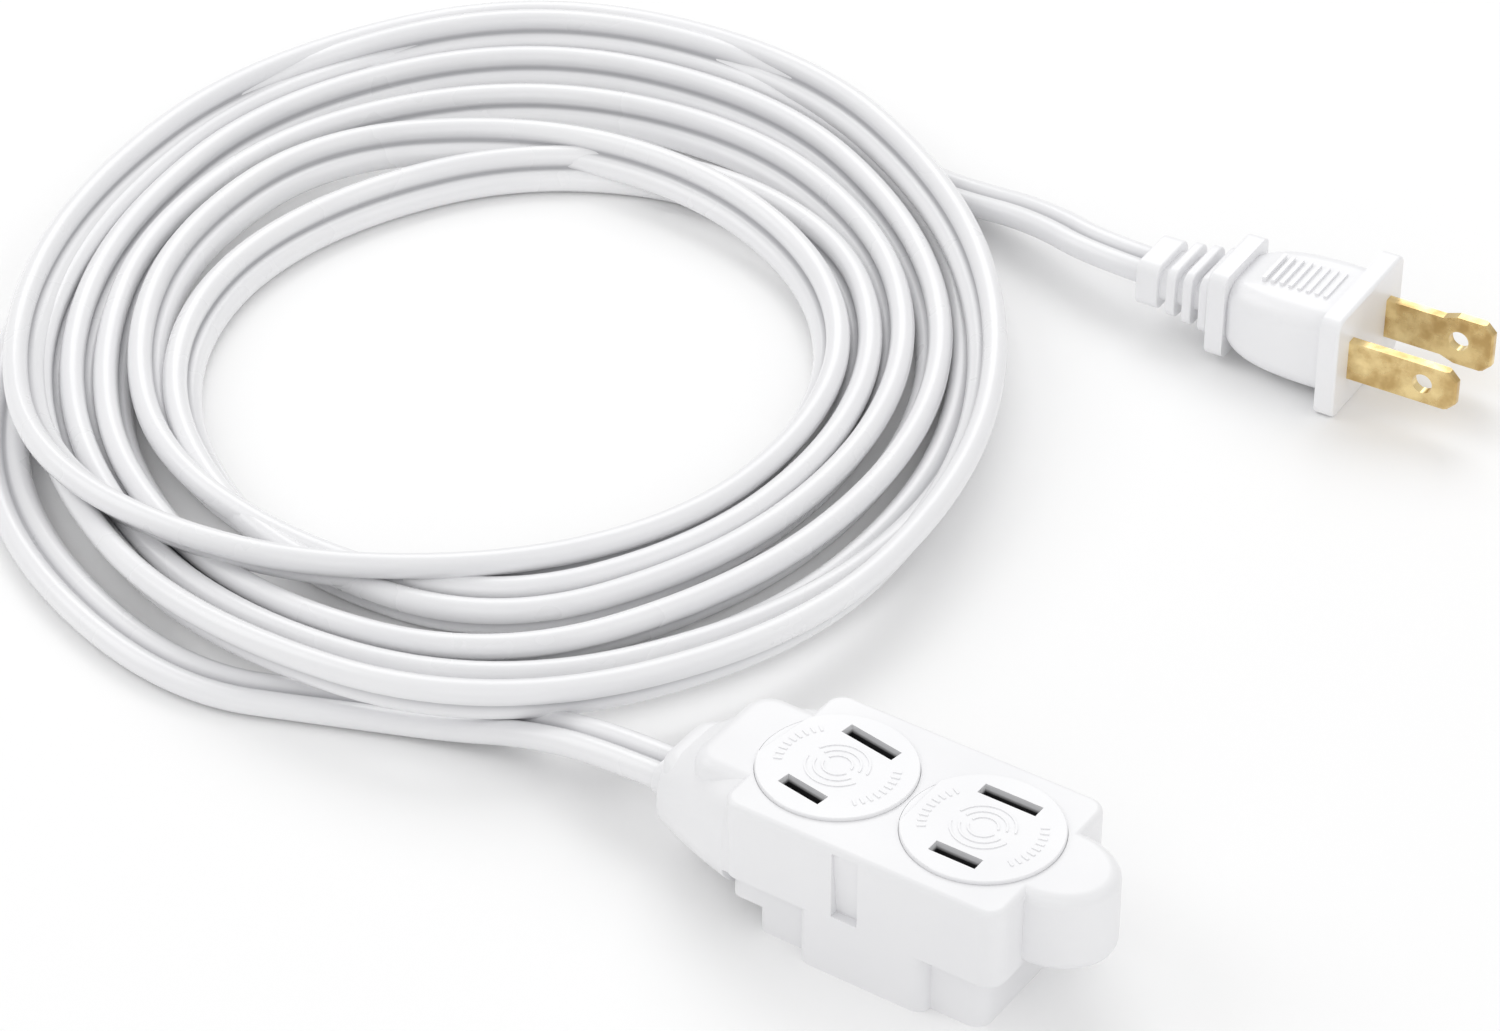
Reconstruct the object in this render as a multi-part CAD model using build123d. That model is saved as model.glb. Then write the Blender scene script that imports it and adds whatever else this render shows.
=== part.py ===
from build123d import *
import math
import os

# Indoor household extension cord: flat two-conductor cord in a loose coil, a moulded
# two-blade polarised plug at one end and a three-outlet tap at the other.
# Millimetres, +Z up.  Origin: bottom centre of the tap, +X along the tap, away from its cord.

# ---- flat cord -----------------------------------------------------------------
cord_width = 7.2
cord_thick = 3.6
conductor_spacing = cord_width - cord_thick
wire_dia = 2.8                       # one conductor's own insulation, once split

# ---- tap: outside --------------------------------------------------------------
tap_height = 20.5
slab_bottom = 8.8                    # under this the tap is the narrower bottom-outlet block
slab_x0, slab_x1 = -16.1, 24.4
slab_half_width = 13.3
neck_end_x = -30.8
neck_end_edge = 1.8
collar_end_x = -33.0                 # short collar where the cord enters the neck
collar_grow = 1.0
neck_root_z = 12.1
neck_root_size = (26.0, 16.2, 6.4)   # width, height, corner radius
neck_overlap = 3.0                   # how far the neck runs on inside the slab
nose_end_x = 33.0
nose_half_width = 7.1
nose_edge = 1.6
cord_axis_z = 8.8
top_wall = 2.2
base_thick = 3.0

# ---- outlets -------------------------------------------------------------------
outlet_pitch = 21.4
outlet_1_x = -7.3
outlet_2_x = outlet_1_x + outlet_pitch
outlet_3_x = 4.0                     # bottom outlet, between the blades of the upper two
blade_pitch = 12.7
neutral_slot = (8.4, 2.0)
hot_slot = (6.7, 2.0)
cover_radius = 10.4
recess_radius = cover_radius + 0.06
skirt_radius = 9.1
throat_radius = skirt_radius + 0.06
cover_thick = 1.2
cover_raise = 0.5
cover_flat = 9.3                     # distance of the raised face's straight side from the axis
skirt_depth = 2.4
ring_thick = 0.7
ring_groove_radius = 8.75
ring_radius = 9.9
cover_1_turn = -9.0                  # this cover is stored a little turned
cover_travel = 90.0
bottom_surface = 0.8                 # the bottom cover sits this far up, clear of the table
lug_inner, lug_outer = 9.35, 10.15
lug_width, lug_height = 1.4, 0.6

# ---- contacts ------------------------------------------------------------------
strip_thick = 0.8
strip_height = 5.0
strip_base_z = 8.6
clip_leaf = 0.5
clip_width = 5.6
clip_gap = 1.3
clip_flare = 0.5

crimp_radius = 1.7
strand_radius = 1.05
crimp_x0, crimp_x1, crimp_z = -13.6, -10.6, 10.2
cord_split_x = -22.0                 # inside the tap's neck

# ---- plug ----------------------------------------------------------------------
plug_place = Location((-6.4, 139.3, 8.3), (0, 0, 3.2))
blade_thick = 1.5
blade_height = 6.35
neutral_tip_height = 7.9
blade_length = 17.0
blade_root = 9.0
blade_hole_x = 11.7
blade_hole_radius = 1.55
front_plate = (3.0, 22.4, 16.6)      # thickness, width, height
rear_plate = (3.0, 14.4, 14.0)
rear_plate_x = -23.0
grip_sections = [                    # place along X, width, height, corner radius
    (-20.0, 12.2, 10.4, 3.0), (-17.5, 15.6, 12.2, 3.6), (-13.5, 17.8, 13.2, 3.8),
    (-8.5, 18.4, 13.5, 3.6), (-3.0, 18.0, 13.4, 3.4),
]
rib_count, rib_pitch, rib_x0, rib_top = 8, 1.4, -15.6, 7.15
relief_end_x = -35.5
plug_split_x = -20.6                 # inside the plug's body

# ---- coil: a loose oval ring, its long axis turned from +X ----------------------
coil_centre = (-111.0, 71.0)
coil_turn = 124.2
coil_outer = (91.0, 75.0)
coil_inner = (50.0, 42.0)
coil_inner_shift = 6.0
coil_height = 15.0


def box(x0, x1, y0, y1, z0, z1):
    """Box between two corners."""
    return Location((x0, y0, z0)) * Box(x1 - x0, y1 - y0, z1 - z0, align=(Align.MIN,) * 3)


def plate(x0, x1, half_width, z0, z1, radius):
    """Upright block, centred on y = 0, with rounded upright edges."""
    outline = RectangleRounded(x1 - x0, 2 * half_width, radius)
    return extrude(Location(((x0 + x1) / 2, 0, z0)) * outline, z1 - z0)


def disc(x, radius, z0, z1):
    return Location((x, 0, z0)) * Cylinder(radius, z1 - z0, align=(Align.CENTER, Align.CENTER, Align.MIN))


def top_edges(shape):
    return shape.faces().sort_by(Axis.Z)[-1].edges()


def section_x(x, y, z, width, height, radius):
    """Rounded rectangle standing across the X axis."""
    return Plane((x, y, z), x_dir=(0, 1, 0), z_dir=(1, 0, 0)) * RectangleRounded(width, height, radius)


def cord_length_x(x0, x1, z, grow=0.0):
    """Straight piece of the flat cord along X."""
    outline = Plane((x0, 0, z), x_dir=(0, 1, 0), z_dir=(1, 0, 0)) * SlotOverall(cord_width + grow, cord_thick + grow)
    return extrude(outline, x1 - x0)


# ---- tap housing ---------------------------------------------------------------

def tap_outside():
    """Outer form: slab, block under it in steps, tapered neck and rounded nose."""
    slab = plate(slab_x0, slab_x1, slab_half_width, slab_bottom, tap_height, 2.5)
    slab = fillet(top_edges(slab), 0.8)
    nose = Location((slab_x1, 0, slab_bottom)) * extrude(Ellipse(nose_end_x - slab_x1, nose_half_width),
                                                         tap_height - slab_bottom)
    nose = fillet(nose.faces().filter_by(Axis.Z).edges(), nose_edge)
    nose -= box(slab_x0, slab_x1 - 2.4, -20, 20, 0, 30)
    steps = [
        plate(-15.7, -8.0, 11.2, 4.0, slab_bottom + 1, 1.2),
        plate(-11.6, 0.0, 11.2, 0.0, slab_bottom + 1, 1.2),
        plate(-4.6, 14.4, slab_half_width, 0.0, slab_bottom + 1, 2.0),
        plate(8.0, 21.9, 11.6, 0.0, slab_bottom + 1, 2.2),
    ]
    neck_root = section_x(slab_x0, 0, neck_root_z, *neck_root_size)
    neck_skirt = loft([
        section_x(neck_end_x, 0, cord_axis_z, 13.0, 10.0, 4.6),
        section_x(-24.6, 0, 10.9, 19.6, 14.0, 5.6),
        neck_root,
    ])
    neck_skirt = fillet(neck_skirt.faces().sort_by(Axis.X)[0].edges(), neck_end_edge)
    collar = cord_length_x(collar_end_x, neck_end_x + neck_end_edge, cord_axis_z, collar_grow)
    neck_core = extrude(neck_root, neck_overlap)
    neck_core -= box(slab_x0, 0, -20, 20, 0, slab_bottom)
    shoulders = [
        fillet(top_edges(plate(-24.8, -6.0, 8.8, slab_bottom, tap_height, 4.0)), 2.2),
        fillet(top_edges(plate(-31.4, -20.0, 6.4, slab_bottom, 15.4, 4.0)), 2.2),
    ]
    body = slab + nose + neck_skirt + neck_core + collar
    for piece in steps + shoulders:
        body += piece
    return body


def key_groove(side):
    """Shallow tapered groove up the side of the slab."""
    outline = Polyline((slab_half_width + 1, 9.5), (slab_half_width - 1.3, 9.5),
                       (slab_half_width - 0.35, 19.6), (slab_half_width + 1, 19.6), close=True)
    groove = extrude(Plane((0.6, 0, 0), x_dir=(0, side, 0), z_dir=(side, 0, 0)) * make_face(outline), side * 3.8)
    return groove


def base_outline(gap):
    """Opening in the block's underside, smaller by gap all round."""
    narrow = Location((5.0, 0)) * RectangleRounded(30.8 - 2 * gap, 19.8 - 2 * gap, 1.0)
    wide = Location((4.8, 0)) * RectangleRounded(16.4 - 2 * gap, 23.6 - 2 * gap, 1.0)
    return narrow + wide


def cover_well(x, surface, up):
    """What is cut for one outlet cover: recess, throat and the stop lug's arc."""
    def span(a, b, radius):
        z0, z1 = sorted((surface - up * a, surface - up * b))
        return disc(x, radius, z0, z1)
    return [span(-1.0, cover_thick + 0.04, recess_radius), span(0, 8.0, throat_radius)]


def sector(radius, start, end):
    """Flat sector between two angles."""
    a, b, m = (math.radians(v) for v in (start, end, (start + end) / 2))
    def at(t):
        return (radius * math.cos(t), radius * math.sin(t))
    return make_face(Line((0, 0), at(a)) + ThreePointArc(at(a), at(m), at(b)) + Line(at(b), (0, 0)))


def stop_arc(x, surface, up, start, sweep_angle):
    """Groove in the recess floor in which the cover's lug runs."""
    depth = lug_height + 0.1
    z0, z1 = sorted((surface - up * cover_thick, surface - up * (cover_thick + depth)))
    ring = Cylinder(lug_outer + 0.08, z1 - z0) - Cylinder(lug_inner - 0.08, z1 - z0)
    half = math.degrees((lug_width / 2 + 0.06) / lug_inner)
    wedge = extrude(sector(20, start - half, start + sweep_angle + half), 10, both=True)
    return Location((x, 0, (z0 + z1) / 2)) * (ring & wedge)


def make_tap_housing():
    body = tap_outside()
    for side in (-1, 1):
        body -= key_groove(side)
    body -= plate(-14.3, 22.6, 11.4, slab_bottom + 1.6, tap_height - top_wall, 1.0)
    body -= plate(-14.3, -5.0, 9.6, 5.4, slab_bottom + 2.0, 1.0)
    body -= extrude(base_outline(0), slab_bottom + 2.0)
    body -= box(-25.2, -12.0, -5.6, 5.6, 6.2, 12.6)
    body -= box(-18.8, -12.0, -7.4, 7.4, 6.2, 12.6)
    body -= cord_length_x(collar_end_x - 1, -24.0, cord_axis_z)
    for x in (outlet_1_x, outlet_2_x):
        for cut in cover_well(x, tap_height, 1):
            body -= cut
        body -= disc(x, ring_radius + 0.15, tap_height - 3.2, tap_height - top_wall)
        body -= stop_arc(x, tap_height, 1, 90, cover_travel)
    return body


def make_base_plate():
    """Floor of the tap, welded into the block, with posts that carry the contact block."""
    floor = extrude(base_outline(0.05), base_thick)
    for x in (-8.7, 18.6):
        for y in (-8.2, 8.2):
            floor += Location((x, y, base_thick)) * Cylinder(1.0, 2.4, align=(Align.CENTER, Align.CENTER, Align.MIN))
    for cut in cover_well(outlet_3_x, bottom_surface, -1):
        floor -= cut
    floor -= stop_arc(outlet_3_x, bottom_surface, -1, 180, cover_travel)
    return floor


# ---- outlet covers -------------------------------------------------------------

def slots(depth):
    """The two blade slots, about the cover's own axis."""
    wide = Location((0, blade_pitch / 2, 0)) * Box(neutral_slot[0], neutral_slot[1], depth)
    narrow = Location((0, -blade_pitch / 2, 0)) * Box(hot_slot[0], hot_slot[1], depth)
    return wide + narrow


def make_cover(x, surface, up, turn):
    """Round flange under a raised face with one straight side; a skirt holds its ring."""
    base = (Align.CENTER, Align.CENTER, Align.MIN)
    flange = Location((0, 0, -cover_thick)) * Cylinder(cover_radius, cover_thick, align=base)
    face = Cylinder(cover_radius, cover_raise, align=base) - box(-20, -cover_flat, -20, 20, -1, 5)
    face = fillet(face.faces().sort_by(Axis.Z)[-1].edges(), 0.2)
    skirt = Location((0, 0, -cover_thick - skirt_depth)) * Cylinder(skirt_radius, skirt_depth, align=base)
    groove_top = -cover_thick - 1.06
    groove = Location((0, 0, groove_top - ring_thick - 0.04)) * (
        Cylinder(12, ring_thick + 0.04, align=base) - Cylinder(ring_groove_radius, ring_thick + 0.04, align=base))
    lug = box(-lug_outer, -lug_inner, -lug_width / 2, lug_width / 2, -cover_thick - lug_height, -cover_thick)
    cover = flange + face + skirt + lug - groove - slots(20)
    return place_cover(cover, x, surface, up, turn)


def make_cover_ring(x, surface, up, turn):
    """Split snap ring in the skirt's groove; it keeps the cover in and gives it its drag."""
    base = (Align.CENTER, Align.CENTER, Align.MIN)
    ring = Cylinder(ring_radius, ring_thick, align=base) - Cylinder(ring_groove_radius, ring_thick, align=base)
    ring -= box(0, 20, -1.2, 1.2, -1, 5)
    ring = Location((0, 0, -cover_thick - 1.08 - ring_thick)) * ring
    return place_cover(ring, x, surface, up, turn)


def place_cover(shape, x, surface, up, turn):
    """An upper cover faces up; the bottom cover is the same piece turned over about X."""
    flip = 0 if up > 0 else 180
    return Location((x, 0, surface)) * Location((0, 0, 0), (flip, 0, 0)) * Location((0, 0, 0), (0, 0, turn)) * shape


# ---- contacts and their carrier ------------------------------------------------

def make_contact(x, side, mouth_z, end_z):
    """Folded brass clip: two leaves joined at the closed end, flared at the mouth."""
    centre = blade_pitch / 2
    half_gap = clip_gap / 2
    up = 1 if mouth_z > end_z else -1
    pieces = []
    for s in (-1, 1):
        y0 = centre + s * half_gap
        y1 = y0 + s * clip_leaf
        flare = clip_flare if s < 0 else 0.0
        outline = Polyline((y0, end_z), (y1, end_z), (y1, mouth_z - up * 1.6), (y1 + s * flare, mouth_z),
                           (y0 + s * flare, mouth_z), (y0, mouth_z - up * 1.6), close=True)
        pieces.append(make_face(outline))
    bridge = Polyline((centre - half_gap - clip_leaf, end_z), (centre + half_gap + clip_leaf, end_z),
                      (centre + half_gap + clip_leaf, end_z - up * clip_leaf),
                      (centre - half_gap - clip_leaf, end_z - up * clip_leaf), close=True)
    pieces.append(make_face(bridge))
    start = Plane((x - clip_width / 2, 0, 0), x_dir=(0, 1, 0), z_dir=(1, 0, 0))
    clip = None
    for face in pieces:
        solid = extrude(start * face, clip_width)
        clip = solid if clip is None else clip + solid
    return clip if side > 0 else mirror(clip, Plane.XZ)


strip_y0 = blade_pitch / 2 + clip_gap / 2 + clip_leaf


def make_bus(side):
    """Straight brass strip that joins one side of all three outlets; its tail takes the crimp."""
    y0, y1 = sorted((side * strip_y0, side * (strip_y0 + strip_thick)))
    strip = box(-13.6, 18.4, y0, y1, strip_base_z, strip_base_z + strip_height)
    strip -= box(-20, -10.4, y0 - 1, y1 + 1, strip_base_z + 3.2, strip_base_z + strip_height + 1)
    return strip


def make_carrier():
    """Moulded block that holds the strips and clips apart under the covers."""
    block = plate(-10.2, 20.2, 9.7, 5.4, 16.6, 0.8)
    pocket_half = 4.2
    for x in (outlet_1_x, outlet_2_x, outlet_3_x):
        for side in (-1, 1):
            y0, y1 = sorted((side * 4.4, side * (strip_y0 + strip_thick)))
            block -= box(x - pocket_half, x + pocket_half, y0, y1, 0, 30)
    for side in (-1, 1):
        y0, y1 = sorted((side * strip_y0, side * (strip_y0 + strip_thick)))
        block -= box(-20, 18.4, y0, y1, 0, strip_base_z + strip_height)
    return block


def tube_along(points, radii, diameter):
    path = FilletPolyline(*points, radius=radii)
    start = Plane(origin=path @ 0, z_dir=path % 0)
    return sweep(start * Circle(diameter / 2), path=path)


def make_tap_wire(side):
    """One conductor, from where the flat cord is split to its crimp on the strip's tail."""
    y_in = side * conductor_spacing / 2
    y_out = side * (strip_y0 - crimp_radius)
    points = [(cord_split_x, y_in, cord_axis_z), (-19.8, y_in, cord_axis_z), (-17.0, side * 3.9, 9.5),
              (-14.9, y_out, crimp_z), (crimp_x0, y_out, crimp_z)]
    wire = tube_along(points, [1.8, 1.8, 1.8], wire_dia)
    return wire + strand(crimp_x0, crimp_x1, y_out, crimp_z)


def strand(x0, x1, y, z):
    """Bared copper at a conductor's end."""
    return Location((x0, y, z)) * Rot(0, 90, 0) * Cylinder(strand_radius, x1 - x0,
                                                           align=(Align.CENTER, Align.CENTER, Align.MIN))


def make_crimp(x0, x1, y, z):
    """Crimp barrel round a bared end."""
    axis = Location((x0, y, z)) * Rot(0, 90, 0)
    base = (Align.CENTER, Align.CENTER, Align.MIN)
    return axis * (Cylinder(crimp_radius, x1 - x0, align=base) - Cylinder(strand_radius, x1 - x0, align=base))


def make_cord_clamp():
    """Collar pressed into the neck, which grips the flat cord."""
    collar = extrude(section_x(-25.2, 0, cord_axis_z, 10.8, 5.0, 1.0), 3.0)
    return collar - cord_length_x(-30, -20, cord_axis_z)


# ---- plug, in its own frame: +X along the blades, origin at the middle of its face ----

def make_blade(neutral):
    """Flat brass blade with a hole and a bevelled tip; the neutral one widens to its tip."""
    half = blade_height / 2
    tip = (neutral_tip_height if neutral else blade_height) / 2
    bevel = 1.3
    upper = [(-blade_root, half - 1.0), (-blade_root + 2, half), (9.0, half), (11.2, tip),
             (blade_length - bevel, tip), (blade_length, tip - bevel)]
    if not neutral:
        upper = [(-blade_root, half - 1.0), (-blade_root + 2, half), (blade_length - bevel, half),
                 (blade_length, half - bevel)]
    outline = Polyline(*upper, *[(x, -z) for x, z in reversed(upper)], close=True)
    y = blade_pitch / 2 * (1 if neutral else -1)
    face = Plane((0, y, 0), x_dir=(1, 0, 0), z_dir=(0, -1, 0)) * make_face(outline)
    blade = extrude(face, blade_thick / 2, both=True)
    flat_sides = blade.faces().filter_by(Axis.Y)
    blade = chamfer(flat_sides.edges().filter_by(lambda e: e.center().X > blade_length - 0.7), 0.3)
    hole = Location((blade_hole_x, y, 0)) * Rot(90, 0, 0) * Cylinder(blade_hole_radius, 6)
    return blade - hole


def make_plug_bridge():
    """Hard insert that holds the blades apart while the plug is moulded round them."""
    bridge = Location((-4.6, 0, 0)) * Box(5.2, 17.6, 8.6)
    bridge = fillet(bridge.edges().filter_by(Axis.X), 1.2)
    return bridge - make_blade(True) - make_blade(False)


plug_crimp_x0, plug_crimp_x1 = -12.4, -blade_root


def make_plug_wire(side):
    """One conductor from the split to its crimp behind the blade."""
    y_in = side * conductor_spacing / 2
    y_out = side * (blade_pitch / 2 - 1.6)
    points = [(plug_split_x, y_in, 0), (-18.2, y_in, 0), (-15.0, y_out, 0), (plug_crimp_x0, y_out, 0)]
    return tube_along(points, [2.0, 2.0], wire_dia) + strand(plug_crimp_x0, plug_crimp_x1, y_out, 0)


def make_plug_crimp(side):
    y = side * (blade_pitch / 2 - 1.6)
    return make_crimp(plug_crimp_x0, plug_crimp_x1, y, 0)


def make_plug_body(inner):
    """Soft moulded body: plate behind the blades, waisted grip with a ribbed pad, rear plate."""
    front = extrude(section_x(-front_plate[0], 0, 0, front_plate[1], front_plate[2], 1.6), front_plate[0])
    front = fillet(front.faces().sort_by(Axis.X)[-1].edges(), 0.5)
    rear = extrude(section_x(rear_plate_x, 0, 0, rear_plate[1], rear_plate[2], 1.6), rear_plate[0])
    rear = fillet(rear.faces().sort_by(Axis.X)[0].edges(), 0.5)
    grip = loft([section_x(x, 0, 0, *size) for x, *size in grip_sections])
    body = front + rear + grip
    for i in range(rib_count):
        rib = Location((rib_x0 + rib_pitch * i, 0, rib_top - 0.7)) * Box(0.6, 7.4, 1.4)
        body += fillet(rib.edges().filter_by(Axis.Z), 0.2)
    for piece in inner:
        body -= piece
    return body


def make_strain_relief():
    """Ribbed sleeve behind the plug: end collar, then three fins that grow towards the body."""
    def slab(x0, x1, width, height, edge=0.3):
        block = extrude(section_x(x0, 0, 0, width, height, 1.8), x1 - x0)
        return fillet(block.faces().sort_by(Axis.X)[0].edges() + block.faces().sort_by(Axis.X)[-1].edges(), edge)
    sleeve = slab(relief_end_x, rear_plate_x, 8.6, 5.2)
    sleeve += slab(relief_end_x, -31.9, 10.2, 7.6)
    for i in range(3):
        x = -30.4 + 2.8 * i
        sleeve += slab(x, x + 1.5, 10.8 + 0.5 * i, 8.2 + 0.6 * i)
    return sleeve - cord_length_x(relief_end_x - 1, rear_plate_x + 1, 0)


# ---- cord ----------------------------------------------------------------------

def corner_radii(points):
    """Largest tangent arc at each corner: 0.45 of the shorter run over tan(half the turn)."""
    radii = []
    for a, b, c in zip(points, points[1:], points[2:]):
        before = Vector(*b) - Vector(*a)
        after = Vector(*c) - Vector(*b)
        turn = math.radians(before.get_angle(after))
        radii.append(0.45 * min(before.length, after.length) / math.tan(turn / 2))
    return radii


def make_cord(name, points):
    """Flat cord along straight runs joined by tangent arcs, lying flat."""
    radii = corner_radii(points)
    path = FilletPolyline(*points, radius=radii)
    along = path % 0
    start = Plane(origin=path @ 0, x_dir=Vector(-along.Y, along.X, 0), z_dir=along)
    outline = SlotOverall(cord_width, cord_thick)
    solid = sweep(start * outline, path=path)
    print(name, "radii", [round(r, 1) for r in radii], "length", round(path.length, 1),
          "volume ratio", round(solid.volume / (outline.area * path.length), 4))
    return solid


def plug_point(x):
    """Place in the row frame of a point on the plug's axis."""
    return tuple((plug_place * Location((x, 0, 0))).position)


tap_lead_points = [
    (cord_split_x, 0, cord_axis_z),
    (-41.0, 0, cord_axis_z),
    (-56.0, 2.4, 6.8),
]

plug_lead_points = [
    plug_point(plug_split_x),
    plug_point(-42.8),
    (-64.0, 142.4, 7.0),
    (-79.0, 145.4, 4.2),
    (-94.0, 147.6, 2.6),
]


def make_coil():
    """Space filled by the loose oval coil, lying on the surface."""
    outer = Ellipse(coil_outer[0], coil_outer[1])
    inner = Location((-coil_inner_shift, 0)) * Ellipse(coil_inner[0], coil_inner[1])
    ring = extrude(outer - inner, coil_height)
    ring = fillet(top_edges(ring), 4.0)
    return Location((coil_centre[0], coil_centre[1], 0), (0, 0, coil_turn)) * ring


# ---- everything in its place ---------------------------------------------------

def build_parts():
    parts = {}
    parts["tap_housing"] = make_tap_housing()
    parts["tap_base_plate"] = make_base_plate()
    covers = [("1", outlet_1_x, tap_height, 1, cover_1_turn), ("2", outlet_2_x, tap_height, 1, 0.0),
              ("3", outlet_3_x, bottom_surface, -1, 0.0)]
    for number, x, surface, up, turn in covers:
        parts["outlet_cover_" + number] = make_cover(x, surface, up, turn)
        parts["cover_ring_" + number] = make_cover_ring(x, surface, up, turn)
    parts["contact_carrier"] = make_carrier()
    for label, side in (("hot", -1), ("neutral", 1)):
        parts[label + "_bus"] = make_bus(side)
        parts[label + "_contact_1"] = make_contact(outlet_1_x, side, 16.2, 7.2)
        parts[label + "_contact_2"] = make_contact(outlet_2_x, side, 16.2, 7.2)
        parts[label + "_contact_3"] = make_contact(outlet_3_x, side, 5.8, 14.8)
        parts["tap_" + label + "_wire"] = make_tap_wire(side)
        parts["tap_" + label + "_crimp"] = make_crimp(crimp_x0, crimp_x1, side * (strip_y0 - crimp_radius), crimp_z)
        parts["plug_" + label + "_wire"] = make_plug_wire(side)
        parts["plug_" + label + "_crimp"] = make_plug_crimp(side)
        parts[label + "_blade"] = make_blade(side > 0)
    parts["tap_cord_clamp"] = make_cord_clamp()
    parts["plug_bridge"] = make_plug_bridge()
    parts["plug_strain_relief"] = make_strain_relief()
    cord_end = cord_length_x(rear_plate_x - 1, plug_split_x, 0)
    embedded = ["plug_bridge", "hot_blade", "neutral_blade", "plug_hot_wire", "plug_neutral_wire",
                "plug_hot_crimp", "plug_neutral_crimp"]
    bores = [Location((plug_crimp_x0, s * (blade_pitch / 2 - 1.6), 0)) * Rot(0, 90, 0) * Cylinder(
        crimp_radius, plug_crimp_x1 - plug_crimp_x0, align=(Align.CENTER, Align.CENTER, Align.MIN)) for s in (-1, 1)]
    parts["plug_body"] = make_plug_body([parts[name] for name in embedded] + bores + [cord_end])
    for name in embedded + ["plug_body", "plug_strain_relief"]:
        parts[name] = plug_place * parts[name]
    parts["cord_to_tap"] = make_cord("cord_to_tap", tap_lead_points)
    parts["cord_to_plug"] = make_cord("cord_to_plug", plug_lead_points)
    parts["cord_coil"] = make_coil()
    return parts


os.makedirs("parts", exist_ok=True)
for name, shape in build_parts().items():
    export_step(shape, "parts/" + name + ".step")
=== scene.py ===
import math
import bmesh
import bpy
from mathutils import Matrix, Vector


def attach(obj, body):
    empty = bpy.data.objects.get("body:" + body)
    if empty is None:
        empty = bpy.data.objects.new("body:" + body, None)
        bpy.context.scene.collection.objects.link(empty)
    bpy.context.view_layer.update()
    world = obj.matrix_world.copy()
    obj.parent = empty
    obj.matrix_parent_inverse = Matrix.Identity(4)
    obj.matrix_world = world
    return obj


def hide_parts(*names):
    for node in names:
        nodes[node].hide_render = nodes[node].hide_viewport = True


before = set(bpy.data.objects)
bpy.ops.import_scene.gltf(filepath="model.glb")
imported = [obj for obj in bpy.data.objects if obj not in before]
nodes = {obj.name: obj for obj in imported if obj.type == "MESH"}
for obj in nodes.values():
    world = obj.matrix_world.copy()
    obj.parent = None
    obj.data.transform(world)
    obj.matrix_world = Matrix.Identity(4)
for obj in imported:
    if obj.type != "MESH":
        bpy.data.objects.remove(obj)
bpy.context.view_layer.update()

scene = bpy.context.scene

# ---- camera -------------------------------------------------------------------
# A long lens from the tap's front corner, looking down across the tap to the coil behind it.
camera_data = bpy.data.cameras.new("camera")
camera_data.sensor_width = 36.0
camera_data.lens = 116.2
camera_data.clip_start, camera_data.clip_end = 0.05, 10.0
camera = bpy.data.objects.new("camera", camera_data)
camera.location = (0.2478, -0.3949, 0.4007)
camera.rotation_euler = (math.radians(54.02), 0.0, math.radians(34.19))
scene.collection.objects.link(camera)
scene.camera = camera
scene.view_settings.view_transform = "Standard"

# ---- flat cord ----------------------------------------------------------------
# Two stranded conductors side by side in one glossy white vinyl extrusion, with a groove between
# them so they can be torn apart. About nine feet, wound by hand: it leaves the tap, takes six and
# a half loose turns from the outside inwards, crosses back over them and ends in the plug.
cord_width, cord_thick = 0.0072, 0.0036
coil_centre = (-0.111, 0.071)
turns_mm = [   # radius, height of the cord's middle, and lean of its width, every 30 degrees
    [(87.5, 2.2, 180), (80.3, 2.2, 180), (74.0, 2.2, 180), (76.4, 2.9, 161), (86.4, 4.7, 130),
     (92.2, 7.4, 120), (87.8, 4.8, 140), (75.9, 2.5, 172), (69.3, 2.2, 179), (70.5, 2.5, 170),
     (75.5, 3.2, 140)],
    [(80.8, 3.5, 126), (73.7, 3.5, 126), (65.9, 3.5, 126), (64.3, 3.6, 126), (68.6, 3.6, 126),
     (79.2, 3.7, 126), (85.6, 3.9, 126), (78.6, 3.8, 126), (67.9, 3.6, 120), (63.6, 3.6, 120),
     (63.4, 3.8, 120), (67.8, 4.0, 120)],
    [(76.5, 4.4, 118), (68.9, 3.6, 120), (61.8, 3.5, 120), (59.1, 3.5, 122), (63.7, 3.5, 124),
     (70.5, 3.6, 126), (73.0, 3.8, 126), (69.0, 3.6, 126), (62.3, 3.5, 122), (57.9, 3.5, 118),
     (56.9, 3.5, 118), (60.3, 3.5, 120)],
    [(67.1, 3.5, 120), (58.8, 3.5, 120), (51.5, 3.5, 122), (48.8, 3.5, 124), (48.3, 3.5, 128),
     (49.0, 3.5, 128), (53.3, 3.5, 128), (56.7, 3.2, 128), (56.2, 3.4, 124), (53.1, 3.5, 120),
     (52.6, 3.5, 120), (56.2, 3.5, 120)],
    [(61.6, 3.5, 118), (56.3, 3.6, 118), (55.5, 4.2, 122), (54.2, 4.8, 126), (57.9, 4.8, 130),
     (64.1, 4.6, 130), (58.6, 5.2, 126), (51.4, 6.7, 124), (49.6, 4.9, 122), (48.5, 4.2, 122),
     (47.8, 3.8, 120), (51.3, 4.2, 116)],
    [(57.2, 5.7, 112), (68.0, 9.1, 127), (74.0, 9.1, 131), (72.3, 7.2, 128), (75.9, 6.8, 126),
     (86.7, 6.4, 126), (98.5, 5.2, 126), (87.9, 6.7, 126), (75.1, 7.1, 126), (71.1, 7.1, 126),
     (74.8, 7.1, 124), (85.6, 7.8, 118)],
    [(94.2, 9.8, 112), (81.4, 7.4, 118), (70.6, 3.9, 126), (69.0, 3.5, 130), (72.2, 3.5, 130),
     (83.7, 3.5, 130), (91.4, 3.4, 136), (89.2, 2.7, 165)],
]
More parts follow.
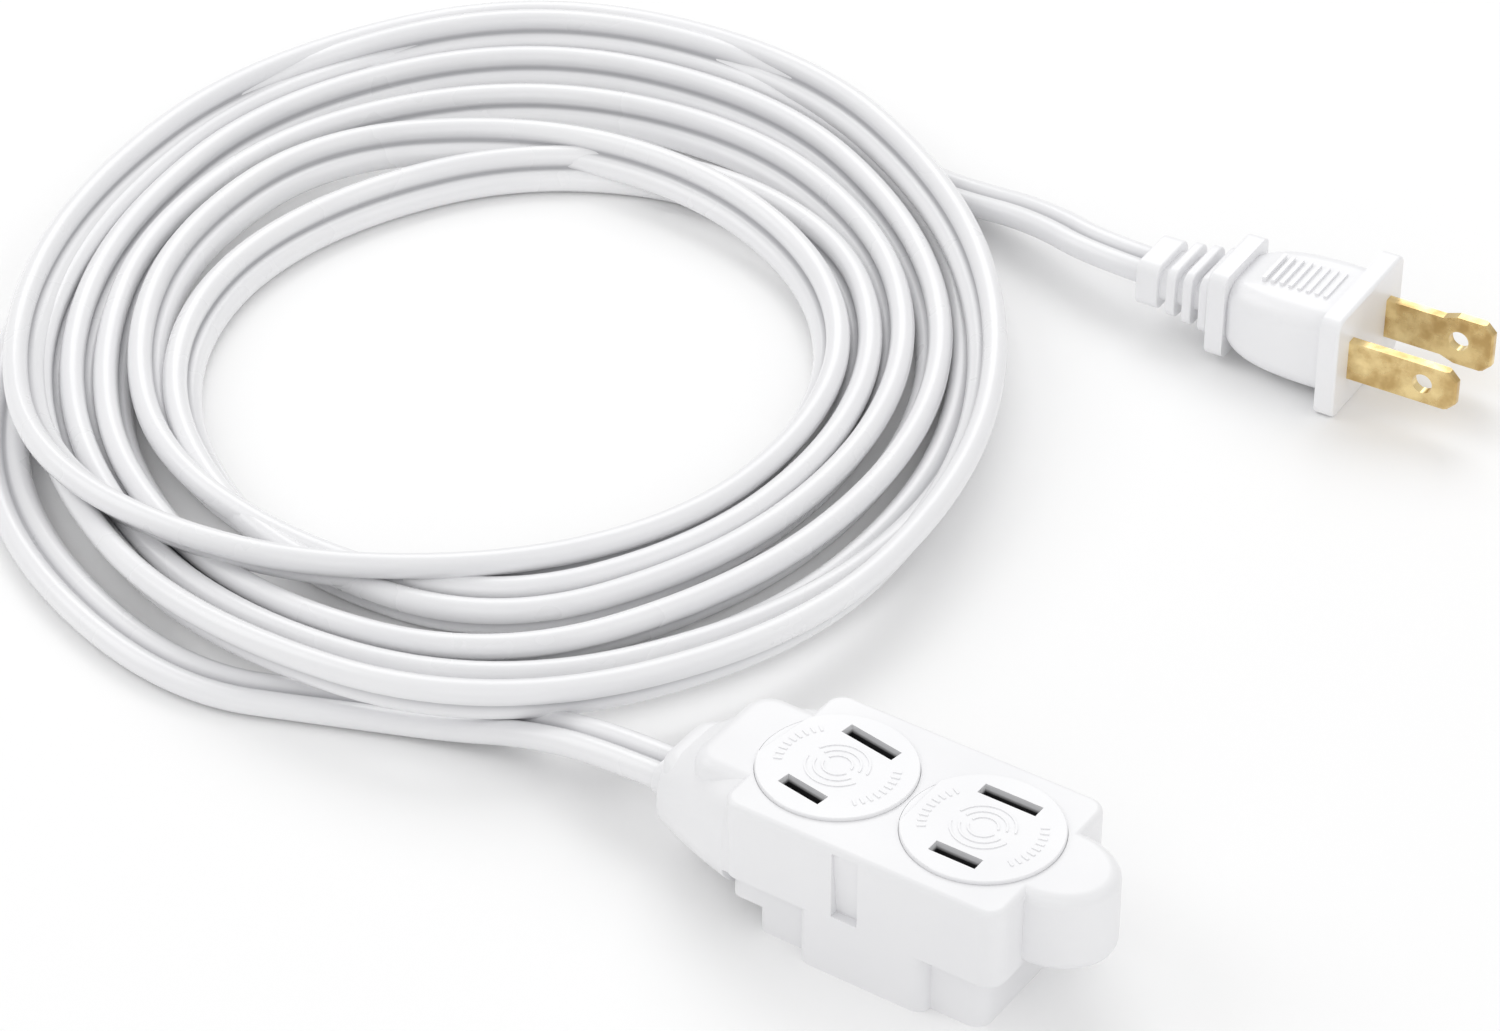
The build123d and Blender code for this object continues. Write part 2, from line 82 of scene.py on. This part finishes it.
route = [(-0.0220, 0.0, 0.0088, 180), (-0.0410, 0.0, 0.0088, 180), (-0.0560, 0.0012, 0.0048, 180),
         (-0.0670, -0.0016, 0.0026, 180), (-0.0795, -0.0059, 0.0020, 180)]
start_angle, turn_step = 274.19, 30
turn_angle = math.radians(start_angle)
for turn in turns_mm:
    for radius, height, lean in turn:
        route.append((coil_centre[0] + radius / 1000 * math.cos(turn_angle),
                      coil_centre[1] + radius / 1000 * math.sin(turn_angle), height / 1000, lean))
        turn_angle -= math.radians(turn_step)
route += [(-0.0940, 0.1476, 0.0020, 180), (-0.0790, 0.1454, 0.0034, 180), (-0.0640, 0.1424, 0.0068, 180),
          (-0.04913, 0.13691, 0.0083, 180), (-0.02697, 0.13815, 0.0083, 180)]

cord_curve = bpy.data.curves.new("cord_route", "CURVE")
cord_curve.dimensions = "3D"
cord_curve.twist_mode = "Z_UP"
cord_curve.resolution_u = 14
spline = cord_curve.splines.new("NURBS")
spline.points.add(len(route) - 1)
for point, (x, y, z, lean) in zip(spline.points, route):
    point.co = (x, y, z, 1.0)
    point.tilt = -math.radians(lean)
spline.order_u = 3
spline.use_endpoint_u = True
cord_line = bpy.data.objects.new("cord_route", cord_curve)
scene.collection.objects.link(cord_line)
centreline = [v.co.copy() for v in bpy.data.meshes.new_from_object(cord_line).vertices]

profile_curve = bpy.data.curves.new("cord_section", "CURVE")
profile_curve.dimensions = "2D"
lobe = cord_thick / 2
groove_angle, lobe_steps = 22, 12
outline = []
for side in (1, -1):
    for k in range(lobe_steps + 1):
        a = math.radians(-(180 - groove_angle) + 2 * (180 - groove_angle) * k / lobe_steps)
        outline.append((side * (cord_width / 2 - lobe + lobe * math.cos(a)), side * lobe * math.sin(a)))
loop = profile_curve.splines.new("POLY")
loop.points.add(len(outline) - 1)
for point, (x, y) in zip(loop.points, outline):
    point.co = (x, y, 0.0, 1.0)
loop.use_cyclic_u = True
profile = bpy.data.objects.new("cord_section", profile_curve)
scene.collection.objects.link(profile)
cord_curve.bevel_mode = "OBJECT"
cord_curve.bevel_object = profile
bpy.context.view_layer.update()
cord_mesh = bpy.data.meshes.new_from_object(cord_line.evaluated_get(bpy.context.evaluated_depsgraph_get()))
cord_mesh.name = "cord"
for helper in (cord_line, profile):
    bpy.data.objects.remove(helper)
cord = bpy.data.objects.new("cord", cord_mesh)
scene.collection.objects.link(cord)
cord_mesh.polygons.foreach_set("use_smooth", [True] * len(cord_mesh.polygons))

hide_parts("cord_to_tap", "cord_coil", "cord_to_plug")
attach(cord, "extension_cord")

# The grey mixed into the groove between the two lobes is painted shade for the crease.
cord_colour, groove_shade_colour = (0.87, 0.87, 0.88), (0.50, 0.50, 0.52)
groove_edge, groove_span = 0.92, 0.45   # of a lobe's radius
ring = len(outline)
groove = cord_mesh.attributes.new("groove", "FLOAT", "POINT")
spots = [v.co for v in cord_mesh.vertices]
for first in range(0, len(spots) - ring + 1, ring):
    middle = sum((spots[first + k] for k in range(ring)), Vector()) / ring
    for k in range(ring):
        near = (spots[first + k] - middle).length / lobe
        groove.data[first + k].value = max(0.0, min(1.0, (groove_edge - near) / groove_span))


def surface(name, colour, other, roughness, size, ripple, metallic=0.0, coat=0.0, patch=45.0, sharp=0.0):
    """One material: two tones in soft patches, roughness that varies with them, and a fine ripple."""
    material = bpy.data.materials.new(name)
    material.use_nodes = True
    tree = material.node_tree
    shader = tree.nodes["Principled BSDF"]
    where = tree.nodes.new("ShaderNodeTexCoord")
    patches = tree.nodes.new("ShaderNodeTexNoise")
    patches.inputs["Scale"].default_value = patch
    patches.inputs["Detail"].default_value = 4.0
    spread = tree.nodes.new("ShaderNodeMapRange")
    spread.inputs["From Min"].default_value = 0.3 + sharp
    spread.inputs["From Max"].default_value = 0.7 - sharp
    tone = tree.nodes.new("ShaderNodeMixRGB")
    tone.inputs["Color1"].default_value = (*colour, 1)
    tone.inputs["Color2"].default_value = (*other, 1)
    gloss = tree.nodes.new("ShaderNodeMapRange")
    gloss.inputs["To Min"].default_value = roughness * 0.85
    gloss.inputs["To Max"].default_value = roughness * 1.2
    grain = tree.nodes.new("ShaderNodeTexNoise")
    grain.inputs["Scale"].default_value = 1 / size
    bump = tree.nodes.new("ShaderNodeBump")
    bump.inputs["Distance"].default_value = ripple
    bump.inputs["Strength"].default_value = 0.6
    tree.links.new(where.outputs["Object"], patches.inputs["Vector"])
    tree.links.new(where.outputs["Object"], grain.inputs["Vector"])
    tree.links.new(patches.outputs["Fac"], spread.inputs["Value"])
    tree.links.new(spread.outputs["Result"], tone.inputs["Fac"])
    tree.links.new(spread.outputs["Result"], gloss.inputs["Value"])
    tree.links.new(tone.outputs["Color"], shader.inputs["Base Color"])
    tree.links.new(gloss.outputs["Result"], shader.inputs["Roughness"])
    tree.links.new(grain.outputs["Fac"], bump.inputs["Height"])
    tree.links.new(bump.outputs["Normal"], shader.inputs["Normal"])
    shader.inputs["Metallic"].default_value = metallic
    shader.inputs["Coat Weight"].default_value = coat
    return material


def dress(material, *names):
    """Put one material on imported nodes, leaving their meshes alone."""
    for name in names:
        nodes[name].data.materials.clear()
        nodes[name].data.materials.append(material)


cord_vinyl = surface("cord_vinyl", cord_colour, (0.84, 0.84, 0.855), 0.28, 0.0010, 0.00002, coat=0.25)
# Painted shade: the cord's colour turns grey towards the groove, following each ring's groove mask.
tree = cord_vinyl.node_tree
depth = tree.nodes.new("ShaderNodeAttribute")
depth.attribute_name = "groove"
shade = tree.nodes.new("ShaderNodeMixRGB")
shade.inputs["Color2"].default_value = (*groove_shade_colour, 1)
shader = tree.nodes["Principled BSDF"]
tree.links.new(shader.inputs["Base Color"].links[0].from_socket, shade.inputs["Color1"])
tree.links.new(depth.outputs["Fac"], shade.inputs["Fac"])
tree.links.new(shade.outputs["Color"], shader.inputs["Base Color"])
cord_mesh.materials.clear()
cord_mesh.materials.append(cord_vinyl)

# ---- tap housing and base plate --------------------------------------------------
# The tap's shell and the plate that closes it underneath, injection moulded in white plastic and
# fused together. Faintly rippled and slightly glossy, as it came from the mould.
white_plastic = surface("white_plastic", (0.86, 0.86, 0.87), (0.83, 0.83, 0.845), 0.36, 0.0014, 0.00002)
dress(white_plastic, "tap_housing", "tap_base_plate")

# ---- gate mark -------------------------------------------------------------------
# The low round scar left on the nose where the plastic was fed into the mould and the runner
# snapped off. Part of the shell.
gate_centre, gate_radius, gate_height = (0.0299, -0.0051, 0.0113), 0.0008, 0.00025
nose_root_x, nose_stretch = 0.0244, 1.47   # where the rounded nose starts, and its (length/width) squared
gate_mesh = bpy.data.meshes.new("gate_mark")
form = bmesh.new()
outward = Vector((gate_centre[0] - nose_root_x, gate_centre[1] * nose_stretch, 0.0)).normalized()
bmesh.ops.create_uvsphere(form, u_segments=24, v_segments=12, radius=gate_radius)
for v in form.verts:
    along = v.co.z * gate_height / gate_radius
    v.co = (Vector(gate_centre) + outward * along + outward.cross(Vector((0, 0, 1))) * v.co.x
            + Vector((0, 0, v.co.y)))
bmesh.ops.recalc_face_normals(form, faces=form.faces[:])
form.to_mesh(gate_mesh)
form.free()
gate_mesh.materials.append(white_plastic)
gate_mark = bpy.data.objects.new("gate_mark", gate_mesh)
scene.collection.objects.link(gate_mark)
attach(gate_mark, "extension_cord")

# ---- outlet covers ---------------------------------------------------------------
# Three turning safety covers, moulded in a slightly smoother white and snapped into the shell.
# Each carries low moulded arcs between its slots and short ribs at both ends for the fingers.
# Inside the slots the plastic is painted near-black from a little under the face: painted shade for the
# depth of the slots.
cover_plastic = surface("cover_plastic", (0.88, 0.88, 0.89), (0.85, 0.85, 0.865), 0.33, 0.0011, 0.000015)
# Painted shade: the covers turn near-black from a little under their face, standing in for the dark depth
# of the slots.
slot_shade_colour = (0.03, 0.03, 0.032)
slot_middle_z, dark_below, light_above = 0.01065, 0.0090, 0.0096   # distances from mid-height
tree = cover_plastic.node_tree
where = tree.nodes.new("ShaderNodeTexCoord")
axes = tree.nodes.new("ShaderNodeSeparateXYZ")
offset = tree.nodes.new("ShaderNodeMath")
offset.operation = "SUBTRACT"
offset.inputs[1].default_value = slot_middle_z
away = tree.nodes.new("ShaderNodeMath")
away.operation = "ABSOLUTE"
inside = tree.nodes.new("ShaderNodeMapRange")
inside.inputs["From Min"].default_value = dark_below
inside.inputs["From Max"].default_value = light_above
inside.inputs["To Min"].default_value = 1.0
inside.inputs["To Max"].default_value = 0.0
slot_shade = tree.nodes.new("ShaderNodeMixRGB")
slot_shade.inputs["Color2"].default_value = (*slot_shade_colour, 1)
shader = tree.nodes["Principled BSDF"]
tree.links.new(where.outputs["Object"], axes.inputs["Vector"])
tree.links.new(axes.outputs["Z"], offset.inputs[0])
tree.links.new(offset.outputs[0], away.inputs[0])
tree.links.new(away.outputs[0], inside.inputs["Value"])
tree.links.new(inside.outputs["Result"], slot_shade.inputs["Fac"])
tree.links.new(shader.inputs["Base Color"].links[0].from_socket, slot_shade.inputs["Color1"])
tree.links.new(slot_shade.outputs["Color"], shader.inputs["Base Color"])
dress(cover_plastic, "outlet_cover_1", "outlet_cover_2", "outlet_cover_3")
mark_rise, sink = 0.00014, 0.00004
arc_radii, arc_width, arc_sweep = (0.0019, 0.0030, 0.0041), 0.00026, 150
rib_radius, rib_length, rib_half_angle = 0.0076, 0.0011, 1.3
arcs = [(r, arc_width, a, a + arc_sweep) for r in arc_radii for a in (15, 195)]
arcs += [(rib_radius, rib_length, a - rib_half_angle, a + rib_half_angle)
         for a in (*range(-32, 33, 8), *range(148, 213, 8))]
for number, centre_x, face_z, up, turn in [(1, -0.0073, 0.0210, 1, -9), (2, 0.0141, 0.0210, 1, 0),
                                           (3, 0.0040, 0.0003, -1, 0)]:
    mark_mesh = bpy.data.meshes.new("cover_marks_%d" % number)
    form = bmesh.new()
    for radius, width, start, end in arcs:
        steps = max(2, int((end - start) / 6))
        grid = bmesh.ops.create_grid(form, x_segments=steps, y_segments=1, size=0.5)["verts"]
        for v in grid:
            angle = math.radians(start + turn + (end - start) * (v.co.x + 0.5))
            r = radius + width * v.co.y
            v.co = Vector((centre_x + r * math.cos(angle), r * math.sin(angle), face_z - up * sink))
        top = bmesh.ops.extrude_face_region(form, geom=list({f for v in grid for f in v.link_faces}))
        bmesh.ops.translate(form, verts=[g for g in top["geom"] if isinstance(g, bmesh.types.BMVert)],
                            vec=(0, 0, up * (mark_rise + sink)))
    bmesh.ops.recalc_face_normals(form, faces=form.faces[:])
    form.to_mesh(mark_mesh)
    form.free()
    mark_mesh.materials.append(cover_plastic)
    marks = bpy.data.objects.new("cover_marks_%d" % number, mark_mesh)
    scene.collection.objects.link(marks)
    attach(marks, "cover_%d" % number)

# ---- cover rings -----------------------------------------------------------------
# Split rings of blackened spring wire strip that snap round each cover's skirt inside the shell
# and hold it in. Seen only through the slots, if at all.
spring_steel = surface("spring_steel", (0.30, 0.30, 0.31), (0.22, 0.22, 0.23),
                       0.35, 0.0006, 0.00001, metallic=1.0)
dress(spring_steel, "cover_ring_1", "cover_ring_2", "cover_ring_3")

# ---- contact carrier and cord clamp ----------------------------------------------
# Moulded plastic that holds the brass inside the shell and grips the cord, coloured near-black as painted
# shade for the inside of the tap, so that through the slots there is almost nothing but black.
dark_plastic = surface("dark_plastic", (0.022, 0.022, 0.024), (0.032, 0.032, 0.034), 0.55, 0.0010, 0.00003)
dress(dark_plastic, "contact_carrier", "tap_cord_clamp")

# ---- bus bars, contacts and crimps -----------------------------------------------
# Stamped and folded brass strip: one bar and three gripping contacts on each side of the tap, and
# the barrels crimped on the wire ends. Dulled, with darker patches.
brass = surface("brass", (0.52, 0.37, 0.16), (0.34, 0.23, 0.10),
                0.34, 0.0008, 0.00001, metallic=1.0, patch=300.0)
dress(brass, "hot_bus", "neutral_bus",
      *["%s_contact_%d" % (side, k) for side in ("hot", "neutral") for k in (1, 2, 3)],
      "tap_hot_crimp", "tap_neutral_crimp", "plug_hot_crimp", "plug_neutral_crimp")

# ---- wires -----------------------------------------------------------------------
# The cord's two halves where they are torn apart inside the tap and the plug: stranded copper in
# their own white vinyl, a little duller than the cord's outside.
wire_insulation = surface("wire_insulation", (0.80, 0.80, 0.80), (0.74, 0.74, 0.745), 0.42, 0.0009, 0.00003)
dress(wire_insulation, "tap_hot_wire", "tap_neutral_wire", "plug_hot_wire", "plug_neutral_wire")

# ---- plug body and strain relief -------------------------------------------------
# Soft white vinyl moulded straight over the blades' feet and the cord end, with a ribbed grip and
# a ringed sleeve that bends with the cord. Softer and glossier than the tap.
plug_vinyl = surface("plug_vinyl", (0.90, 0.90, 0.91), (0.87, 0.87, 0.885),
                     0.30, 0.0012, 0.00003, coat=0.15)
dress(plug_vinyl, "plug_body", "plug_strain_relief")

# ---- plug bridge -----------------------------------------------------------------
# The hard insert that holds both blades at their spacing while the vinyl is moulded round it.
# Off-white and matt; only its front shows between the blades.
bridge_plastic = surface("bridge_plastic", (0.80, 0.80, 0.79), (0.75, 0.75, 0.74), 0.5, 0.0010, 0.00003)
dress(bridge_plastic, "plug_bridge")

# ---- blades ----------------------------------------------------------------------
# Two flat brass blades, punched with a hole near the tip, the neutral one wider. Bright gold with
# browner patches of tarnish where they have been handled.
blade_brass = surface("blade_brass", (0.93, 0.74, 0.38), (0.58, 0.40, 0.17),
                      0.26, 0.0007, 0.00001, metallic=1.0, patch=260.0, sharp=0.06)
dress(blade_brass, "hot_blade", "neutral_blade")

# ---- floor and lights -----------------------------------------------------------
# A plain white table, wide soft lamps behind, to both sides and in front, and an even pale surround.
floor_mesh = bpy.data.meshes.new("floor")
form = bmesh.new()
bmesh.ops.create_grid(form, x_segments=1, y_segments=1, size=1.6)
form.to_mesh(floor_mesh)
form.free()
floor = bpy.data.objects.new("floor", floor_mesh)
scene.collection.objects.link(floor)
floor_paint = bpy.data.materials.new("floor")
floor_paint.use_nodes = True
shader = floor_paint.node_tree.nodes["Principled BSDF"]
shader.inputs["Base Color"].default_value = (0.95, 0.95, 0.95, 1)
shader.inputs["Roughness"].default_value = 0.9
floor_mesh.materials.append(floor_paint)

lamp_target = Vector((-0.08, 0.06, 0.0))
for name, place, size, watts in [("lamp_back", (-0.55, 0.75, 0.9), 0.8, 4.0),
                                 ("lamp_left", (-0.9, -0.35, 0.8), 0.7, 2.2),
                                 ("lamp_right", (0.8, 0.1, 0.7), 0.7, 1.5),
                                 ("lamp_front", (0.35, -0.8, 0.6), 0.7, 1.3)]:
    lamp_data = bpy.data.lights.new(name, "AREA")
    lamp_data.size = size
    lamp_data.energy = watts
    lamp = bpy.data.objects.new(name, lamp_data)
    lamp.location = place
    lamp.rotation_euler = (lamp_target - Vector(place)).to_track_quat("-Z", "Y").to_euler()
    scene.collection.objects.link(lamp)

scene.world = bpy.data.worlds.new("surround")
scene.world.use_nodes = True
scene.world.node_tree.nodes["Background"].inputs["Color"].default_value = (1.0, 1.0, 1.0, 1)
scene.world.node_tree.nodes["Background"].inputs["Strength"].default_value = 0.68
